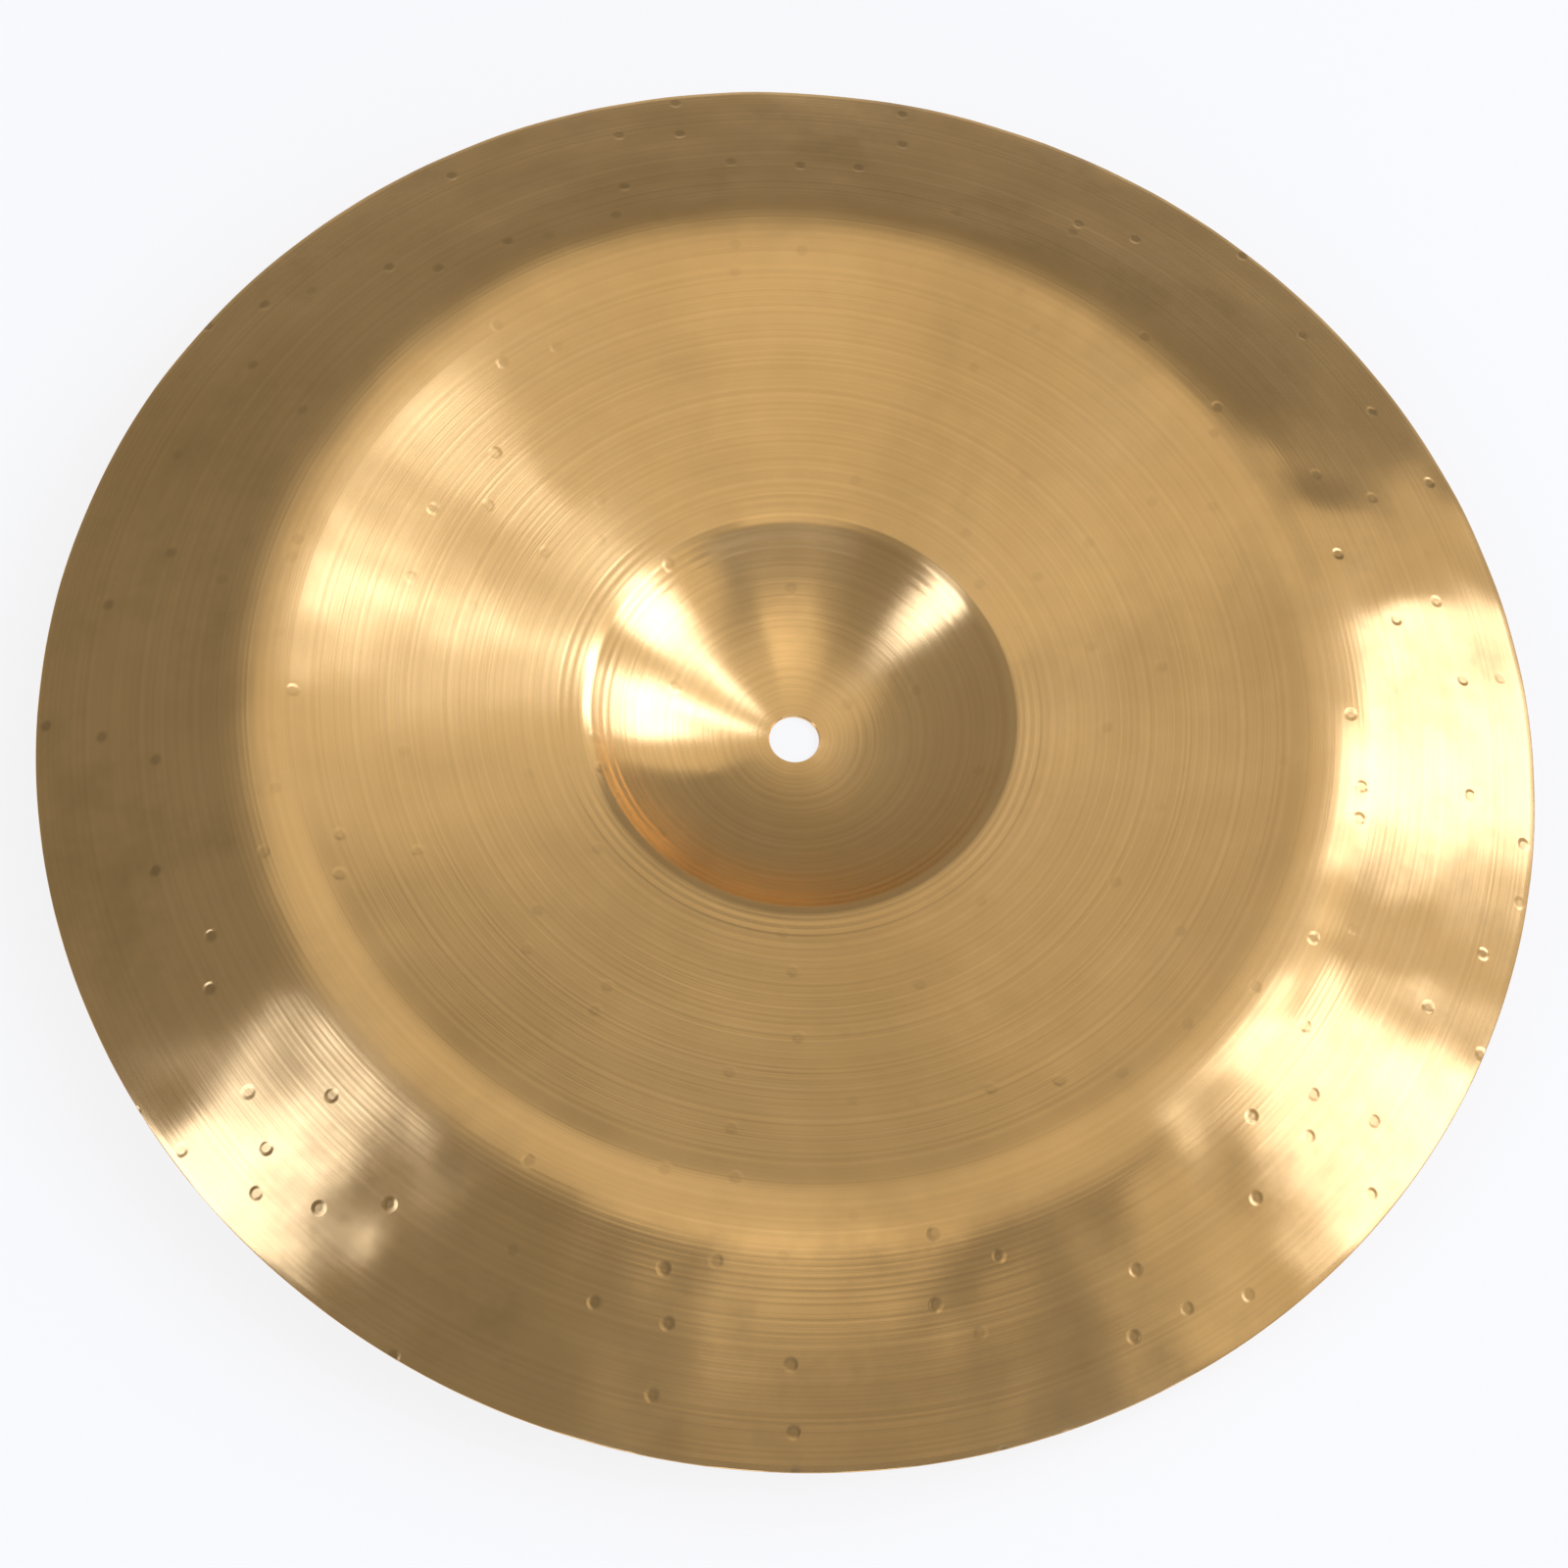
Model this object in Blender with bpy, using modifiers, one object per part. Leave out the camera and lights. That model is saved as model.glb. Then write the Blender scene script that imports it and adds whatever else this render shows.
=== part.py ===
"""A china cymbal: one sheet of bronze, turned and hammered, lying on the crown of its bell.

Its hollow side faces up, as it hangs on a stand when it is mounted upside down. Z is the axis of
the hole, and the origin is the middle of the hole on the face that the bell rests on.
"""

import math

import bpy

MM = 0.001

# Overall size and the hole for the stand's rod, in millimetres
DIAMETER = 406.4
HOLE_DIAMETER = 14.0
SEAT_WIDTH = 2.0

# Bell: a dome that ends in a fillet against the bow
DOME_CURVE = 90.0
BELL_DIAMETER = 112.0
BELL_FILLET = 10.0

# Bow: the playing surface, a little steeper towards the kink
BOW_INNER_SLOPE = math.radians(8.5)
BOW_OUTER_SLOPE = math.radians(14.5)

# Kink and flange: the edge is turned back towards the bell
KINK_DIAMETER = 288.0
KINK_BEND = 20.0
FLANGE_INNER_SLOPE = math.radians(-17.5)
FLANGE_OUTER_SLOPE = math.radians(-20.5)

# The sheet is lathed thinner from the bell out to the rim
BELL_THICKNESS = 1.3
KINK_THICKNESS = 1.0
RIM_THICKNESS = 0.8

# Ring of tonal grooves cut round the foot of the bell, on the hollow side
GROOVE_COUNT = 7
GROOVE_PITCH = 2.3
GROOVE_DEPTH = 0.16
GROOVE_RING_DIAMETER = 116.4

# How finely the round shapes are cut into flats
STEPS_ROUND = 72
DOME_STEPS = 8
FILLET_STEPS = 4
BOW_STEPS = 5
BEND_STEPS = 3
FLANGE_STEPS = 4

BRONZE_COLOUR = (0.72, 0.47, 0.20, 1.0)
BRONZE_ROUGHNESS = 0.32


def slope_arc(start, slope, end_slope, end_radius, steps):
    """Points of an arc from start, at one slope, to where it reaches end_radius at end_slope."""
    turn = math.sin(end_slope) - math.sin(slope)
    curve = (end_radius - start[0]) / turn
    points = []
    for step in range(1, steps + 1):
        angle = slope + (end_slope - slope) * step / steps
        radius = start[0] + curve * (math.sin(angle) - math.sin(slope))
        height = start[1] + curve * (math.cos(slope) - math.cos(angle))
        points.append((radius, height))
    return points


def hollow_side():
    """The hollow face's profile from the hole to the rim, as (radius, height), without its grooves."""
    seat_radius = HOLE_DIAMETER / 2 + SEAT_WIDTH
    bell_radius = BELL_DIAMETER / 2
    kink_radius = KINK_DIAMETER / 2
    dome_start = math.asin(seat_radius / DOME_CURVE)
    dome_end = math.asin(bell_radius / DOME_CURVE)
    bow_start = bell_radius + BELL_FILLET * (math.sin(dome_end) - math.sin(BOW_INNER_SLOPE))
    bend_start = kink_radius - KINK_BEND * math.sin(BOW_OUTER_SLOPE)
    bend_end = kink_radius - KINK_BEND * math.sin(FLANGE_INNER_SLOPE)
    rim_rounding = RIM_THICKNESS / 2
    flange_end = DIAMETER / 2 - rim_rounding * (1 + math.sin(FLANGE_OUTER_SLOPE))

    profile = [(HOLE_DIAMETER / 2, BELL_THICKNESS), (seat_radius, BELL_THICKNESS)]
    stretches = (
        (dome_start, dome_end, bell_radius, DOME_STEPS),
        (dome_end, BOW_INNER_SLOPE, bow_start, FILLET_STEPS),
        (BOW_INNER_SLOPE, BOW_OUTER_SLOPE, bend_start, BOW_STEPS),
        (BOW_OUTER_SLOPE, 0.0, kink_radius, BEND_STEPS),
        (0.0, FLANGE_INNER_SLOPE, bend_end, BEND_STEPS),
        (FLANGE_INNER_SLOPE, FLANGE_OUTER_SLOPE, flange_end, FLANGE_STEPS),
    )
    for slope, end_slope, end_radius, steps in stretches:
        profile += slope_arc(profile[-1], slope, end_slope, end_radius, steps)
    return profile


def thickness_at(radius):
    """The sheet's thickness, which tapers from the bell to the kink and on to the rim."""
    bell_radius = BELL_DIAMETER / 2
    kink_radius = KINK_DIAMETER / 2
    if radius <= bell_radius:
        return BELL_THICKNESS
    if radius <= kink_radius:
        share = (radius - bell_radius) / (kink_radius - bell_radius)
        return BELL_THICKNESS + (KINK_THICKNESS - BELL_THICKNESS) * share
    share = (radius - kink_radius) / (DIAMETER / 2 - kink_radius)
    return KINK_THICKNESS + (RIM_THICKNESS - KINK_THICKNESS) * share


def normal_at(profile, index):
    """The direction square to the profile at one point, pointing up out of the hollow side."""
    before = profile[max(index - 1, 0)]
    after = profile[min(index + 1, len(profile) - 1)]
    run = after[0] - before[0]
    rise = after[1] - before[1]
    length = math.hypot(run, rise)
    return (-rise / length, run / length)


def outer_side(profile):
    """The outer face's profile: the hollow side moved down through the sheet."""
    face = [(HOLE_DIAMETER / 2, 0.0), (HOLE_DIAMETER / 2 + SEAT_WIDTH, 0.0)]
    for index in range(2, len(profile)):
        radius, height = profile[index]
        normal = normal_at(profile, index)
        depth = thickness_at(radius)
        face.append((radius - normal[0] * depth, height - normal[1] * depth))
    return face


def height_on(profile, radius):
    """The profile's height at a radius, and the direction square to it there."""
    for index in range(1, len(profile)):
        inner, outer = profile[index - 1], profile[index]
        if inner[0] <= radius <= outer[0]:
            share = (radius - inner[0]) / (outer[0] - inner[0])
            height = inner[1] + (outer[1] - inner[1]) * share
            length = math.hypot(outer[0] - inner[0], outer[1] - inner[1])
            normal = ((inner[1] - outer[1]) / length, (outer[0] - inner[0]) / length)
            return height, normal
    raise ValueError("no part of the profile has the radius %.1f" % radius)


def with_grooves(profile):
    """The hollow side with its tonal grooves: each has a crest on the face and a valley below it."""
    first = GROOVE_RING_DIAMETER / 2 - GROOVE_PITCH * GROOVE_COUNT / 2
    last = first + GROOVE_PITCH * GROOVE_COUNT
    ripple = []
    for half in range(2 * GROOVE_COUNT + 1):
        radius = first + GROOVE_PITCH * half / 2
        height, normal = height_on(profile, radius)
        depth = GROOVE_DEPTH if half % 2 else 0.0
        ripple.append((radius - normal[0] * depth, height - normal[1] * depth))
    inside = [point for point in profile if point[0] < first - GROOVE_PITCH / 4]
    outside = [point for point in profile if point[0] > last + GROOVE_PITCH / 4]
    return inside + ripple + outside


def rounded_rim(top, bottom):
    """Points of the half-round edge between the two faces, without its ends."""
    middle = ((top[0] + bottom[0]) / 2, (top[1] + bottom[1]) / 2)
    half = math.hypot(top[0] - bottom[0], top[1] - bottom[1]) / 2
    to_top = math.atan2(top[1] - middle[1], top[0] - middle[0])
    to_bottom = to_top - math.pi
    points = []
    for angle in (to_top / 2, 0.0, to_bottom / 2):
        points.append((middle[0] + half * math.cos(angle), middle[1] + half * math.sin(angle)))
    return points


def cross_section():
    """The closed outline that is turned: out along the hollow side, round the rim and back."""
    profile = hollow_side()
    outer = outer_side(profile)
    rim = rounded_rim(profile[-1], outer[-1])
    return with_grooves(profile) + rim + outer[::-1]


def bronze():
    material = bpy.data.materials.new("bronze")
    material.use_nodes = True
    shader = material.node_tree.nodes["Principled BSDF"]
    shader.inputs["Base Color"].default_value = BRONZE_COLOUR
    shader.inputs["Metallic"].default_value = 1.0
    shader.inputs["Roughness"].default_value = BRONZE_ROUGHNESS
    return material


def turned(name, outline, collection):
    """A closed outline in the XZ plane, turned once round Z."""
    mesh = bpy.data.meshes.new(name)
    corners = [(radius * MM, 0.0, height * MM) for radius, height in outline]
    edges = [(index, (index + 1) % len(corners)) for index in range(len(corners))]
    mesh.from_pydata(corners, edges, [])
    piece = bpy.data.objects.new(name, mesh)
    collection.objects.link(piece)
    screw = piece.modifiers.new("Turn", "SCREW")
    screw.axis = "Z"
    screw.steps = STEPS_ROUND
    screw.render_steps = STEPS_ROUND
    screw.use_merge_vertices = True
    screw.merge_threshold = 0.00001
    screw.use_smooth_shade = True
    return piece


def main():
    for leftover in list(bpy.data.objects):
        bpy.data.objects.remove(leftover)
    collection = bpy.data.collections.new("china_cymbal")
    bpy.context.scene.collection.children.link(collection)
    cymbal = turned("cymbal", cross_section(), collection)
    cymbal.data.materials.append(bronze())


main()
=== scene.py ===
"""A china cymbal lying on its bell with its hollow side up: one turned and hammered sheet of bronze."""

import math

import bpy
from mathutils import Matrix, Vector


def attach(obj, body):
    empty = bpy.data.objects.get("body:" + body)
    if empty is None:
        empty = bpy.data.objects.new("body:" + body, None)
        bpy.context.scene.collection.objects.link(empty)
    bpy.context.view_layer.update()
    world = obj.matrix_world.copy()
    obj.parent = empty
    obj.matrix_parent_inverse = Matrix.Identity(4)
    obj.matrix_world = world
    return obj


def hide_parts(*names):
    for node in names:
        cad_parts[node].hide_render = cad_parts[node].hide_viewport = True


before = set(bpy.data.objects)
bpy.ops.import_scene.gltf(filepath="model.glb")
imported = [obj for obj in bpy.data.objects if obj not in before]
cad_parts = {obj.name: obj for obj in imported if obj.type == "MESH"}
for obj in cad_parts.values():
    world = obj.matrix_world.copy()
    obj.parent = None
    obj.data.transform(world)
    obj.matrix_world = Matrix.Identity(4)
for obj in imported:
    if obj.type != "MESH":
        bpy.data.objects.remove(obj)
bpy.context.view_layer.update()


# Camera: the view that the ellipses of the rim, the groove ring and the hole give together.
# Pixels are those of the square photograph, and lengths are in metres.
PHOTO_PIXELS = 1600
FOCAL_PIXELS = 2800
SENSOR_WIDTH = 36.0
AXIS_TILT = math.radians(23.10)
AXIS_TURN = math.radians(-78.35)
RIM_DISTANCE = 0.7462
RIM_CENTRE_PIXEL = Vector((816.2, 726.4))
RIM_HEIGHT = 0.0196

# The cymbal's axis and two directions across it, as right, down and forward from the camera
axis = Vector((
    math.sin(AXIS_TILT) * math.cos(AXIS_TURN),
    math.sin(AXIS_TILT) * math.sin(AXIS_TURN),
    -math.cos(AXIS_TILT),
))
across = (Vector((1, 0, 0)) - axis * axis.x).normalized()
along = axis.cross(across)
to_part = Matrix((across, along, axis))
shift = (RIM_CENTRE_PIXEL - Vector((PHOTO_PIXELS / 2, PHOTO_PIXELS / 2))) * RIM_DISTANCE / FOCAL_PIXELS
part_origin = Vector((shift.x, shift.y, RIM_DISTANCE)) - axis * RIM_HEIGHT

camera_data = bpy.data.cameras.new("camera")
camera_data.sensor_width = SENSOR_WIDTH
camera_data.lens = SENSOR_WIDTH * FOCAL_PIXELS / PHOTO_PIXELS
camera = bpy.data.objects.new("camera", camera_data)
bpy.context.scene.collection.objects.link(camera)
right = to_part @ Vector((1, 0, 0))
up = to_part @ Vector((0, -1, 0))
back = to_part @ Vector((0, 0, -1))
camera_turn = Matrix((right, up, back)).transposed().to_4x4()
camera.matrix_world = Matrix.Translation(to_part @ -part_origin) @ camera_turn
bpy.context.scene.camera = camera


# Cymbal: a cast and rolled disc of bronze, hammered to a bell, a sloping bow and a turned back
# flange, then turned on a lathe, which thins it towards the rim and leaves its rings of grooves.
# Its sizes are in millimetres.
MM = 0.001
HOLE_RADIUS = 7.0
SEAT_RADIUS = 9.0
DOME_CURVE = 90.0
BELL_RADIUS = 56.0
BELL_FILLET = 10.0
BOW_SLOPES = (math.radians(8.5), math.radians(14.5))
KINK_RADIUS = 144.0
KINK_BEND = 38.0
FLANGE_SLOPES = (math.radians(-17.5), math.radians(-20.5))
RIM_RADIUS = 203.2
THICKNESS = ((BELL_RADIUS, 1.3), (KINK_RADIUS, 1.0), (RIM_RADIUS, 0.8))
GROOVE_RING = (50.15, 66.25)
GROOVE_PITCH = 2.3
GROOVE_DEPTH = 0.045
FLANGE_LINES = (145.0, 166.0)
FLANGE_LINE_PITCH = 1.5
FLANGE_LINE_DEPTH = 0.022
HOLE_BREAK = 0.2

# How far apart the profile's points lie on each face, and how finely it is spun and smoothed
HOLLOW_SPACING = {"bell": 3.0, "grooves": 0.29, "bow": 2.0, "kink": 0.75, "lines": 0.375, "flange": 1.6}
OUTER_SPACING = {"bell": 4.0, "grooves": 1.4, "bow": 4.0, "kink": 3.6, "lines": 1.8, "flange": 3.2}
RIM_STEPS = 6
STEPS_ROUND = 320
MERGE_DISTANCE = 0.01
SHARP_ANGLE = math.radians(30)


def arc(start, slopes, end_radius, spacing):
    """Points of an arc that turns from one slope to another by the time it reaches end_radius."""
    first, last = slopes
    curve = (end_radius - start[0]) / (math.sin(last) - math.sin(first))
    steps = max(2, round((end_radius - start[0]) / spacing))
    points = []
    for step in range(1, steps + 1):
        angle = first + (last - first) * step / steps
        radius = start[0] + curve * (math.sin(angle) - math.sin(first))
        height = start[1] + curve * (math.cos(first) - math.cos(angle))
        points.append((radius, height))
    return points


def face_profile(spacing):
    """The hollow face from the seat to the rim, before its grooves, with the given point spacings."""
    dome = (math.asin(SEAT_RADIUS / DOME_CURVE), math.asin(BELL_RADIUS / DOME_CURVE))
    groove_start = math.asin(GROOVE_RING[0] / DOME_CURVE)
    bow_start = BELL_RADIUS + BELL_FILLET * (math.sin(dome[1]) - math.sin(BOW_SLOPES[0]))
    bend_start = KINK_RADIUS - KINK_BEND * math.sin(BOW_SLOPES[1])
    bend_end = KINK_RADIUS - KINK_BEND * math.sin(FLANGE_SLOPES[0])
    rim_rounding = THICKNESS[2][1] / 2
    flange_end = RIM_RADIUS - rim_rounding * (1 + math.sin(FLANGE_SLOPES[1]))
    bow_rise = math.sin(BOW_SLOPES[1]) - math.sin(BOW_SLOPES[0])
    bow_share = (GROOVE_RING[1] - bow_start) / (bend_start - bow_start)
    bow_middle = math.asin(math.sin(BOW_SLOPES[0]) + bow_rise * bow_share)
    line_rise = math.sin(FLANGE_SLOPES[1]) - math.sin(FLANGE_SLOPES[0])
    line_share = (FLANGE_LINES[1] - bend_end) / (flange_end - bend_end)
    flange_middle = math.asin(math.sin(FLANGE_SLOPES[0]) + line_rise * line_share)
    profile = [(SEAT_RADIUS, THICKNESS[0][1])]
    stretches = (
        ((dome[0], groove_start), GROOVE_RING[0], "bell"),
        ((groove_start, dome[1]), BELL_RADIUS, "grooves"),
        ((dome[1], BOW_SLOPES[0]), bow_start, "grooves"),
        ((BOW_SLOPES[0], bow_middle), GROOVE_RING[1], "grooves"),
        ((bow_middle, BOW_SLOPES[1]), bend_start, "bow"),
        ((BOW_SLOPES[1], 0.0), KINK_RADIUS, "kink"),
        ((0.0, FLANGE_SLOPES[0]), bend_end, "lines"),
        ((FLANGE_SLOPES[0], flange_middle), FLANGE_LINES[1], "lines"),
        ((flange_middle, FLANGE_SLOPES[1]), flange_end, "flange"),
    )
    for slopes, end_radius, part in stretches:
        profile += arc(profile[-1], slopes, end_radius, spacing[part])
    return profile


def thickness_at(radius):
    """The sheet's thickness, tapered from the bell to the kink and on to the rim."""
    for inner, outer in zip(THICKNESS, THICKNESS[1:]):
        if radius <= outer[0]:
            share = max(0.0, (radius - inner[0]) / (outer[0] - inner[0]))
            return inner[1] + (outer[1] - inner[1]) * share
    return THICKNESS[-1][1]


def pushed_in(profile, depth_at):
    """The profile moved into the sheet by depth_at(radius), square to itself."""
    moved = []
    for index, (radius, height) in enumerate(profile):
        before = profile[max(index - 1, 0)]
        after = profile[min(index + 1, len(profile) - 1)]
        run = after[0] - before[0]
        rise = after[1] - before[1]
        depth = depth_at(radius) / math.hypot(run, rise)
        moved.append((radius + rise * depth, height - run * depth))
    return moved


def cut_depth(radius, ring, pitch, depth):
    """How deep a ring of rounded cuts is at a radius."""
    if ring[0] < radius < ring[1]:
        return depth * (0.5 - 0.5 * math.cos(2 * math.pi * (radius - ring[0]) / pitch))
    return 0.0


def lathe_depth(radius):
    """How deep the tool cut at a radius: the deep ring round the bell, and the lines past the kink."""
    grooves = cut_depth(radius, GROOVE_RING, GROOVE_PITCH, GROOVE_DEPTH)
    flange_lines = cut_depth(radius, FLANGE_LINES, FLANGE_LINE_PITCH, FLANGE_LINE_DEPTH)
    return grooves + flange_lines


def rim_edge(top, bottom):
    """The half-round edge between the two faces."""
    middle = ((top[0] + bottom[0]) / 2, (top[1] + bottom[1]) / 2)
    half = math.hypot(top[0] - bottom[0], top[1] - bottom[1]) / 2
    start = math.atan2(top[1] - middle[1], top[0] - middle[0])
    points = []
    for step in range(1, RIM_STEPS):
        angle = start - math.pi * step / RIM_STEPS
        points.append((middle[0] + half * math.cos(angle), middle[1] + half * math.sin(angle)))
    return points


hollow = pushed_in(face_profile(HOLLOW_SPACING), lathe_depth)
outer = pushed_in(face_profile(OUTER_SPACING), thickness_at)
outer[0] = (SEAT_RADIUS, 0.0)
seat_height = THICKNESS[0][1]
hole_edge = [(HOLE_RADIUS, seat_height - HOLE_BREAK), (HOLE_RADIUS + HOLE_BREAK, seat_height)]
hole_foot = [(HOLE_RADIUS + HOLE_BREAK, 0.0), (HOLE_RADIUS, HOLE_BREAK)]
outline = hole_edge + hollow + rim_edge(hollow[-1], outer[-1]) + outer[::-1] + hole_foot

# The outline is drawn by extruding a single point along it, and then spun round the axis
bpy.ops.object.select_all(action="DESELECT")
bpy.ops.mesh.primitive_plane_add(size=MM)
cymbal = bpy.context.object
cymbal.name = "bronze_cymbal"
bpy.ops.object.mode_set(mode="EDIT")
bpy.ops.mesh.merge(type="CENTER")
bpy.ops.transform.translate(value=(outline[0][0] * MM, 0, outline[0][1] * MM))
for here, following in zip(outline, outline[1:] + outline[:1]):
    step = ((following[0] - here[0]) * MM, 0, (following[1] - here[1]) * MM)
    bpy.ops.mesh.extrude_vertices_move(TRANSFORM_OT_translate={"value": step})
bpy.ops.mesh.select_all(action="SELECT")
bpy.ops.mesh.remove_doubles(threshold=MERGE_DISTANCE * MM)
bpy.ops.mesh.spin(steps=STEPS_ROUND, angle=2 * math.pi, center=(0, 0, 0), axis=(0, 0, 1))
bpy.ops.mesh.select_all(action="SELECT")
bpy.ops.mesh.remove_doubles(threshold=MERGE_DISTANCE * MM)
bpy.ops.mesh.normals_make_consistent(inside=False)
bpy.ops.object.mode_set(mode="OBJECT")

# Hammering leaves the sheet slightly wavy, most of all on the flange and not at all on the seat
WAVE_HEIGHT = 0.9
WAVE_LENGTH = 28.0
BOW_WAVES = 0.35
BOW_WAVE_START = 25.0
FLANGE_WAVES = 0.65
FLANGE_WAVE_START = 12.0

hammered = cymbal.vertex_groups.new(name="hammered")
for vertex in cymbal.data.vertices:
    radius = math.hypot(vertex.co.x, vertex.co.y) / MM
    on_bow = min(1.0, max(0.0, (radius - BELL_RADIUS) / BOW_WAVE_START)) * BOW_WAVES
    on_flange = min(1.0, max(0.0, (radius - KINK_RADIUS) / FLANGE_WAVE_START)) * FLANGE_WAVES
    hammered.add([vertex.index], on_bow + on_flange, "REPLACE")
waves = bpy.data.textures.new("hammer_waves", "CLOUDS")
waves.noise_scale = WAVE_LENGTH * MM
waves.noise_depth = 1
wavy = cymbal.modifiers.new("Hammering", "DISPLACE")
wavy.texture = waves
wavy.texture_coords = "LOCAL"
wavy.direction = "Z"
wavy.strength = WAVE_HEIGHT * MM
wavy.mid_level = 0.5
wavy.vertex_group = "hammered"
bpy.ops.object.modifier_apply(modifier="Hammering")
bpy.ops.object.shade_smooth_by_angle(angle=SHARP_ANGLE)

# Bronze: golden brown with olive tarnish, thickest on the flange, in fine rings from the lathe; the whole
# flange is also painted darker all round, a painted shade.
# Lathe marks stretch every reflection towards the rim, and hammer blows dot it with small dimples.
# Scales are per metre, and heights and radii are in metres. EDGES are where a noise or a radius
# starts to count and where it counts in full.
BRIGHT_BRONZE = (0.88, 0.56, 0.235, 1)
WORN_BRONZE = (0.65, 0.395, 0.15, 1)
TARNISH = (0.32, 0.20, 0.08, 1)
BRONZE_ROUGHNESS = (0.18, 0.27)
LATHE_STRETCH = 0.86
QUARTER_TURN = 0.25
ROUGH_EDGES = (0.3, 0.75)
FLANGE_EDGES = (0.137, 0.158)

LINE_SCALE = 760.0
LINE_HEIGHT = 0.00003
LINE_COLOUR = 0.2
LINE_EDGES = (0.3, 0.7)
RING_SCALE = 240.0
RING_COLOUR = 0.3
CLOUD_SCALE = 9.0
CLOUD_COLOUR = 0.5
CLOUD_EDGES = (0.35, 0.68)

BLOTCH_SCALE = 26.0
BLOTCH_EDGES = (0.42, 0.8)
BLOTCH_TARNISH = 0.4
BLOTCHES_ON_BOW = 0.3
# How much darker the whole flange is painted, as painted shade
FLANGE_SHADE = 0.25

DIMPLE_SCALE = 60.0
DIMPLE_EDGES = (0.5, 0.9)
DIMPLE_WIDTH = 0.125
DIMPLE_FLOOR = 0.4
DIMPLE_DEPTH = 0.0001
DIMPLE_TARNISH = 0.35
DIMPLES_ON_BOW = 0.35

RIPPLE_SCALE = 32.0
RIPPLE_HEIGHT = 0.00016
RIPPLES_ON_BOW = 0.25

bronze = bpy.data.materials.new("hammered_bronze")
bronze.use_nodes = True
nodes = bronze.node_tree.nodes
links = bronze.node_tree.links
shader = nodes["Principled BSDF"]


def add(kind, settings, inputs):
    """A node with its settings and inputs, where an input that is a socket is linked."""
    made = nodes.new(kind)
    for name, value in settings.items():
        setattr(made, name, value)
    for name, value in inputs.items():
        if isinstance(value, bpy.types.NodeSocket):
            links.new(value, made.inputs[name])
        else:
            made.inputs[name].default_value = value
    return made


def ramp(value, low, high, out_low, out_high):
    """A smooth step of a value between two levels."""
    inputs = {"Value": value, "From Min": low, "From Max": high, "To Min": out_low, "To Max": out_high}
    return add("ShaderNodeMapRange", {"interpolation_type": "SMOOTHSTEP"}, inputs).outputs["Result"]


def times(first, second):
    """The product of two values."""
    return add("ShaderNodeMath", {"operation": "MULTIPLY"}, {0: first, 1: second}).outputs[0]


def plus(first, second):
    """The sum of two values."""
    return add("ShaderNodeMath", {"operation": "ADD"}, {0: first, 1: second}).outputs[0]


def mixed(factor, first, second):
    """A colour between two colours. The mix node's colours are its inputs 6 and 7, and output 2."""
    made = add("ShaderNodeMix", {"data_type": "RGBA"}, {"Factor": factor, 6: first, 7: second})
    return made.outputs[2]


place = add("ShaderNodeTexCoord", {}, {}).outputs["Object"]
flat_place = add("ShaderNodeVectorMath", {"operation": "MULTIPLY"}, {0: place, 1: (1, 1, 0)}).outputs[0]
axis_distance = add("ShaderNodeVectorMath", {"operation": "LENGTH"}, {0: flat_place}).outputs["Value"]
flange_part = ramp(axis_distance, *FLANGE_EDGES, 0.0, 1.0)


def full_on_flange(bow_share):
    """A value that is 1 on the flange and bow_share on the bow and bell."""
    return plus(times(flange_part, 1.0 - bow_share), bow_share)


ripple = add("ShaderNodeTexNoise", {}, {"Vector": place, "Scale": RIPPLE_SCALE, "Detail": 1.5})
ripple_height = times(ripple.outputs["Fac"], full_on_flange(RIPPLES_ON_BOW))
blow_inputs = {"Vector": flat_place, "Scale": DIMPLE_SCALE}
blows = add("ShaderNodeTexVoronoi", {"voronoi_dimensions": "2D"}, blow_inputs)
struck = add("ShaderNodeSeparateColor", {}, {"Color": blows.outputs["Color"]}).outputs["Red"]
dimple = ramp(blows.outputs["Distance"], DIMPLE_WIDTH * DIMPLE_FLOOR, DIMPLE_WIDTH, -1.0, 0.0)
dimple = times(dimple, ramp(struck, *DIMPLE_EDGES, 0.0, 1.0))
dimple = times(dimple, full_on_flange(DIMPLES_ON_BOW))
lines = add(
    "ShaderNodeTexNoise",
    {"noise_dimensions": "1D"},
    {"W": axis_distance, "Scale": LINE_SCALE, "Detail": 2.0, "Roughness": 0.55},
).outputs["Fac"]
rings = add(
    "ShaderNodeTexNoise",
    {"noise_dimensions": "1D"},
    {"W": axis_distance, "Scale": RING_SCALE, "Detail": 3.0, "Roughness": 0.7},
).outputs["Fac"]
cloud_inputs = {"Vector": place, "Scale": CLOUD_SCALE, "Detail": 5.0, "Roughness": 0.6}
clouds = add("ShaderNodeTexNoise", {}, cloud_inputs).outputs["Fac"]
blotch_inputs = {"Vector": place, "Scale": BLOTCH_SCALE, "Detail": 4.0, "Roughness": 0.65}
blotches = add("ShaderNodeTexNoise", {}, blotch_inputs).outputs["Fac"]

ring_marks = plus(times(rings, RING_COLOUR), times(ramp(lines, *LINE_EDGES, 0.0, 1.0), LINE_COLOUR))
worn = plus(times(ramp(clouds, *CLOUD_EDGES, 0.0, 1.0), CLOUD_COLOUR), ring_marks)
blotched = ramp(blotches, *BLOTCH_EDGES, 0.0, BLOTCH_TARNISH)
tarnish_and_shade = times(blotched, full_on_flange(BLOTCHES_ON_BOW))
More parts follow.
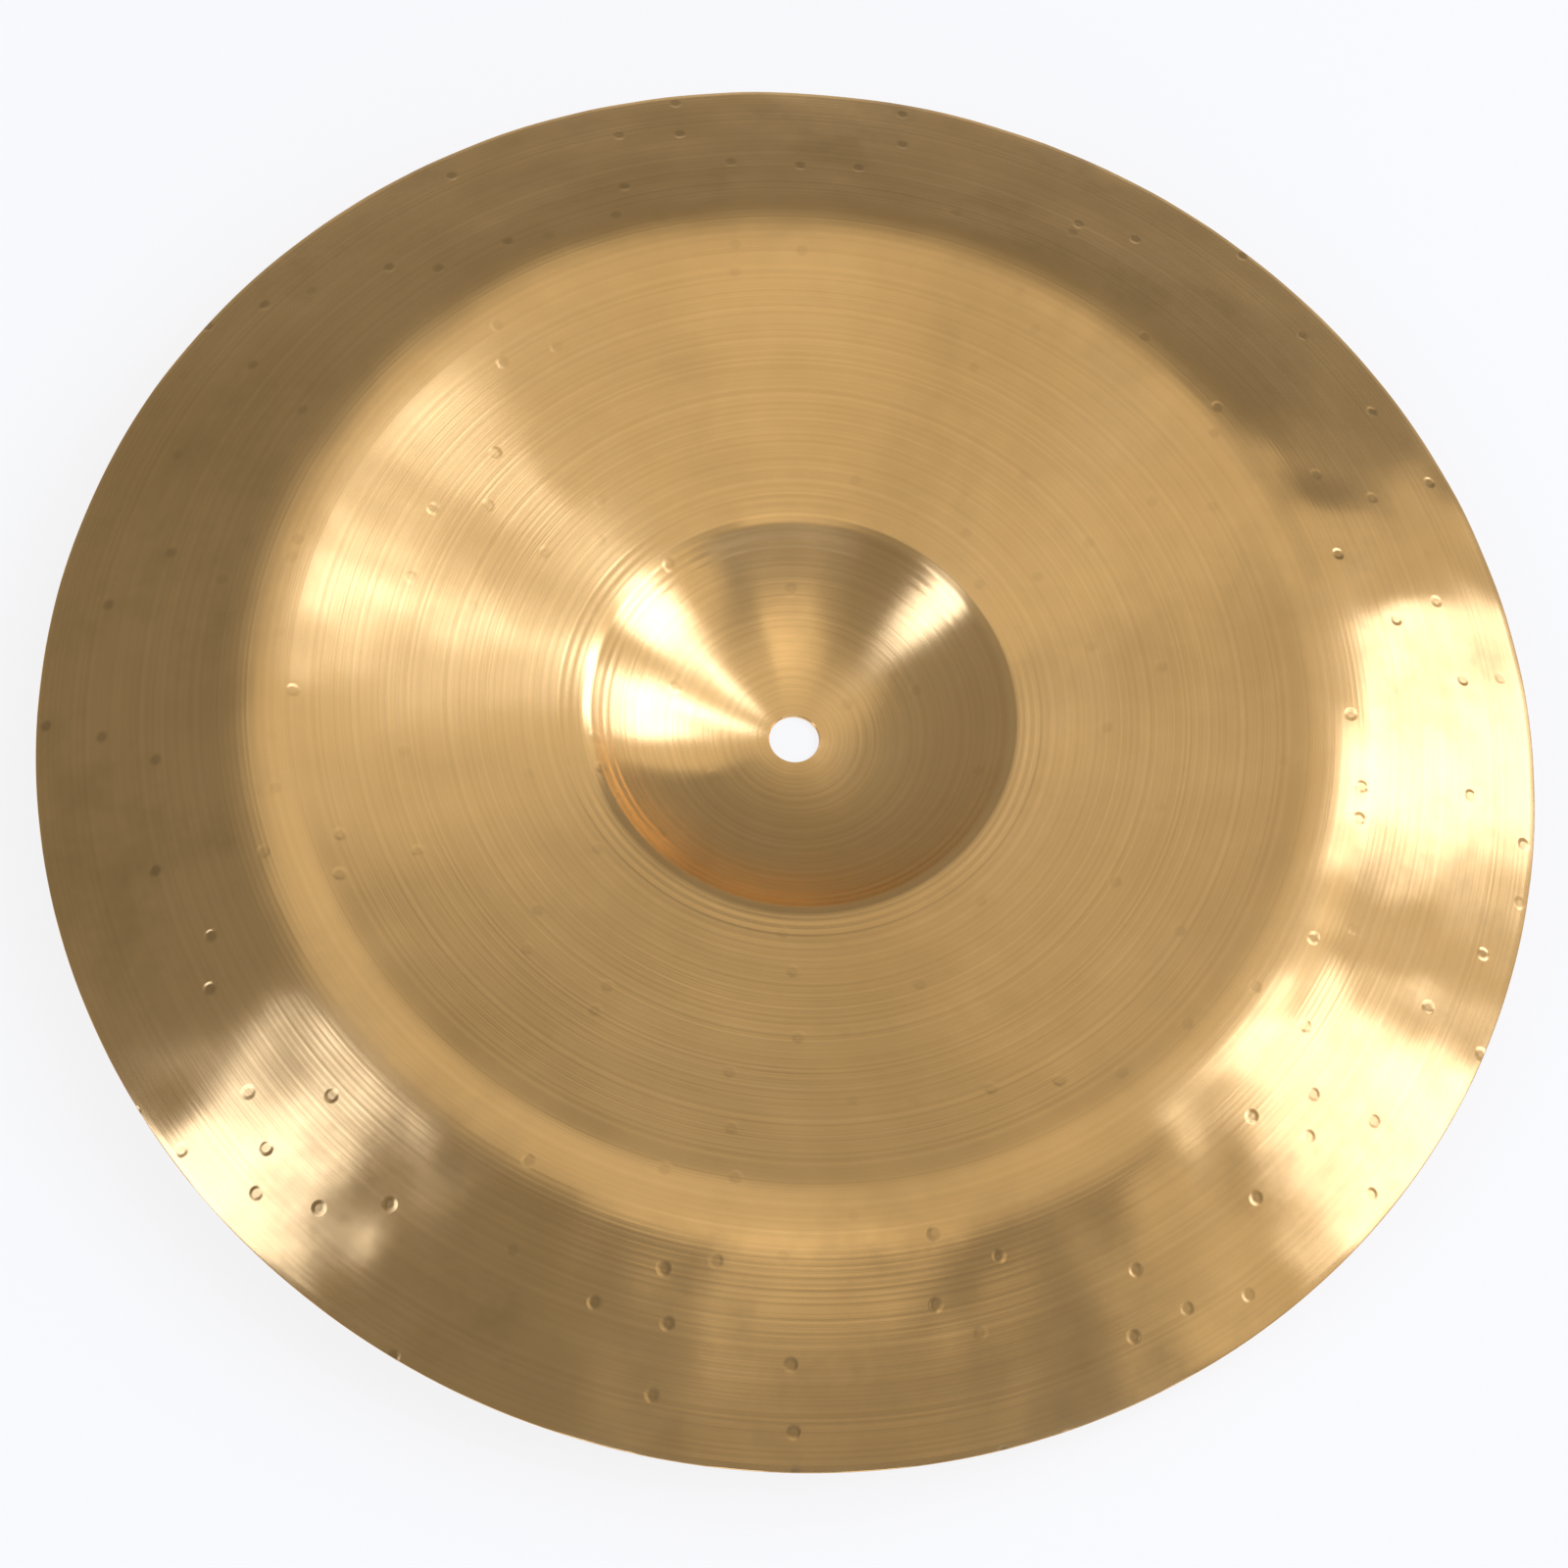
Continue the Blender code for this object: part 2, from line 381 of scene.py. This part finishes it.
# Painted shade: the whole flange is made darker all round, on top of its tarnish blotches
tarnish_and_shade = plus(tarnish_and_shade, times(flange_part, FLANGE_SHADE))
tarnish_and_shade = plus(tarnish_and_shade, times(dimple, -DIMPLE_TARNISH))
colour = mixed(tarnish_and_shade, mixed(worn, BRIGHT_BRONZE, WORN_BRONZE), TARNISH)
links.new(colour, shader.inputs["Base Color"])
links.new(ramp(blotches, *ROUGH_EDGES, *BRONZE_ROUGHNESS), shader.inputs["Roughness"])
shader.inputs["Metallic"].default_value = 1.0
shader.inputs["Anisotropic"].default_value = LATHE_STRETCH
shader.inputs["Anisotropic Rotation"].default_value = QUARTER_TURN
tangent = add("ShaderNodeTangent", {"direction_type": "RADIAL", "axis": "Z"}, {})
links.new(tangent.outputs["Tangent"], shader.inputs["Tangent"])

normal = add("ShaderNodeBump", {}, {"Height": ripple_height, "Distance": RIPPLE_HEIGHT}).outputs[0]
dimple_inputs = {"Height": dimple, "Distance": DIMPLE_DEPTH, "Normal": normal}
normal = add("ShaderNodeBump", {}, dimple_inputs).outputs[0]
line_inputs = {"Height": lines, "Distance": LINE_HEIGHT, "Normal": normal}
normal = add("ShaderNodeBump", {}, line_inputs).outputs[0]
links.new(normal, shader.inputs["Normal"])

cymbal.data.materials.clear()
cymbal.data.materials.append(bronze)
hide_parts("cymbal")
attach(cymbal, "root")


# Floor: a plain white sweep that the bell rests on. What the camera and the metal see of it is
# lifted towards white, and it keeps the cymbal's shadow.
FLOOR_SIDE = 8.0
FLOOR_COLOUR = (0.9, 0.9, 0.91, 1)
WHITE_SHARE = 0.8

bpy.ops.object.select_all(action="DESELECT")
bpy.ops.mesh.primitive_plane_add(size=FLOOR_SIDE)
floor = bpy.context.object
floor.name = "floor"
floor_finish = bpy.data.materials.new("floor_finish")
floor_finish.use_nodes = True
nodes = floor_finish.node_tree.nodes
links = floor_finish.node_tree.links
matt = nodes["Principled BSDF"]
matt.inputs["Base Color"].default_value = FLOOR_COLOUR
matt.inputs["Roughness"].default_value = 1.0
white = add("ShaderNodeEmission", {}, {"Color": (1, 1, 1, 1), "Strength": 1.0})
rays = add("ShaderNodeLightPath", {}, {}).outputs
seen = plus(plus(rays["Is Camera Ray"], rays["Is Glossy Ray"]), rays["Is Transmission Ray"])
blend = add("ShaderNodeMixShader", {}, {"Fac": times(seen, WHITE_SHARE)})
links.new(matt.outputs[0], blend.inputs[1])
links.new(white.outputs[0], blend.inputs[2])
links.new(blend.outputs[0], nodes["Material Output"].inputs["Surface"])
floor.data.materials.append(floor_finish)


# Light: a dim room with soft windows on the right, in front and on the left, two narrow ones high
# up for the streaks on the bow, and warm, paler patches of wall and ceiling. Turn, height and angles
# are in degrees, seen from the cymbal, where X is to the right of the photograph's view and Y up it.
DAYLIGHT = (0.84, 1.0, 1.5)
PAINT = (1.0, 0.95, 0.85)
LAMP_DISTANCE = 4.0
AIM = Vector((0, 0, 0.03))
LAMPS = {
    "right_window": {"turn": 25, "height": 33, "angles": (17, 24), "level": 3.4, "colour": DAYLIGHT},
    "lower_right_window": {"turn": -9, "height": 35, "angles": (17, 26), "level": 3.4, "colour": DAYLIGHT},
    "right_wall": {"turn": 5, "height": 38, "angles": (70, 45), "level": 0.55, "colour": PAINT},
    "low_front_window": {"turn": -92, "height": 13, "angles": (34, 16), "level": 3.3, "colour": DAYLIGHT},
    "low_side_window": {"turn": -60, "height": 13, "angles": (26, 16), "level": 2.9, "colour": DAYLIGHT},
    "left_window": {"turn": -157, "height": 40, "angles": (13, 36), "level": 3.2, "colour": DAYLIGHT},
    "high_right_slot": {"turn": 33, "height": 54, "angles": (4, 24), "level": 3.6, "colour": DAYLIGHT},
    "high_side_slot": {"turn": 12, "height": 61, "angles": (4, 24), "level": 3.6, "colour": DAYLIGHT},
    "ceiling": {"turn": 60, "height": 76, "angles": (50, 45), "level": 0.45, "colour": PAINT},
    "front_ceiling": {"turn": -72, "height": 74, "angles": (20, 24), "level": 0.6, "colour": PAINT},
}

# The slots lean, with their long side towards the way in which a level mirror would send the view
LEANING = ("high_right_slot", "high_side_slot")
MIRROR_WAY = Vector((0.08, 0.385, 0.92))

for name, window in LAMPS.items():
    sides = [2 * LAMP_DISTANCE * math.tan(math.radians(angle) / 2) for angle in window["angles"]]
    lamp_data = bpy.data.lights.new(name, "AREA")
    lamp_data.shape = "RECTANGLE"
    lamp_data.size, lamp_data.size_y = sides
    lamp_data.energy = window["level"] * math.pi * sides[0] * sides[1]
    lamp_data.color = window["colour"]
    lamp = bpy.data.objects.new(name, lamp_data)
    bpy.context.scene.collection.objects.link(lamp)
    turn = math.radians(window["turn"])
    height = math.radians(window["height"])
    towards = Vector((math.cos(height) * math.cos(turn), math.cos(height) * math.sin(turn), math.sin(height)))
    lamp.location = AIM + towards * LAMP_DISTANCE
    if name in LEANING:
        long_side = (MIRROR_WAY - towards * MIRROR_WAY.dot(towards)).normalized()
        short_side = long_side.cross(towards)
        lamp.rotation_euler = Matrix((short_side, long_side, towards)).transposed().to_euler()
    else:
        lamp.rotation_euler = towards.to_track_quat("Z", "Y").to_euler()

# Below the horizon, and a little above it, the room is as white as the floor
ROOM_LEVEL = 0.31
HORIZON = (math.sin(math.radians(4)), math.sin(math.radians(9)))

world = bpy.data.worlds.new("room")
bpy.context.scene.world = world
world.use_nodes = True
nodes = world.node_tree.nodes
links = world.node_tree.links
way = add("ShaderNodeTexCoord", {}, {}).outputs["Generated"]
upward = add("ShaderNodeSeparateXYZ", {}, {"Vector": way}).outputs["Z"]
links.new(ramp(upward, *HORIZON, 1.0, ROOM_LEVEL), nodes["Background"].inputs["Strength"])
nodes["Background"].inputs["Color"].default_value = (1, 1, 1, 1)

bpy.context.scene.view_settings.view_transform = "Standard"
